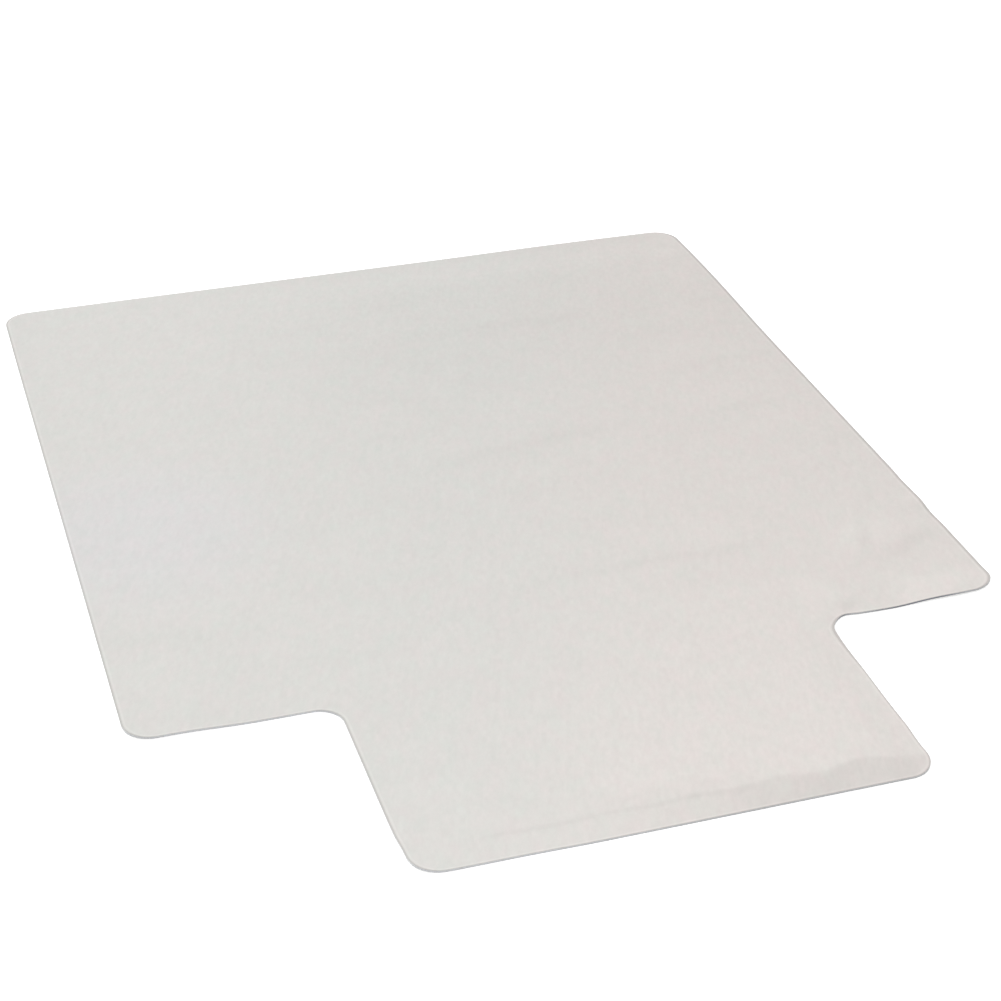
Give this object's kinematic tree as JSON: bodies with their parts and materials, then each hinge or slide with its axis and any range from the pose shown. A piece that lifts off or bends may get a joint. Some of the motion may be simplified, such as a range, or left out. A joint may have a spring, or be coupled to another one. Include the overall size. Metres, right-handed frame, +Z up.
{
  "type": "chair mat",
  "caption": "Thin T-shaped floor mat of frosted plastic that lets an office chair roll over a hard floor, with a front lip that runs under the desk.",
  "frame": {"origin": "on the underside, at the centre of the mat's overall rectangle", "axes": "+Z up from the floor; X across the mat; the narrow lip points towards -Y"},
  "size_m": [0.9, 1.2, 0.002],
  "materials": {
    "wear_layer": "frosted, fine matte grain, warm pale grey",
    "core_sheet": "clear flexible vinyl, faintly blue-grey at the cut edge",
    "grip_backing": "soft matte non-slip skin, pale grey"
  },
  "bodies": {
    "root": {"wear_layer": "wear_layer", "core_sheet": "core_sheet", "grip_backing": "grip_backing"}
  },
  "joints": []
}
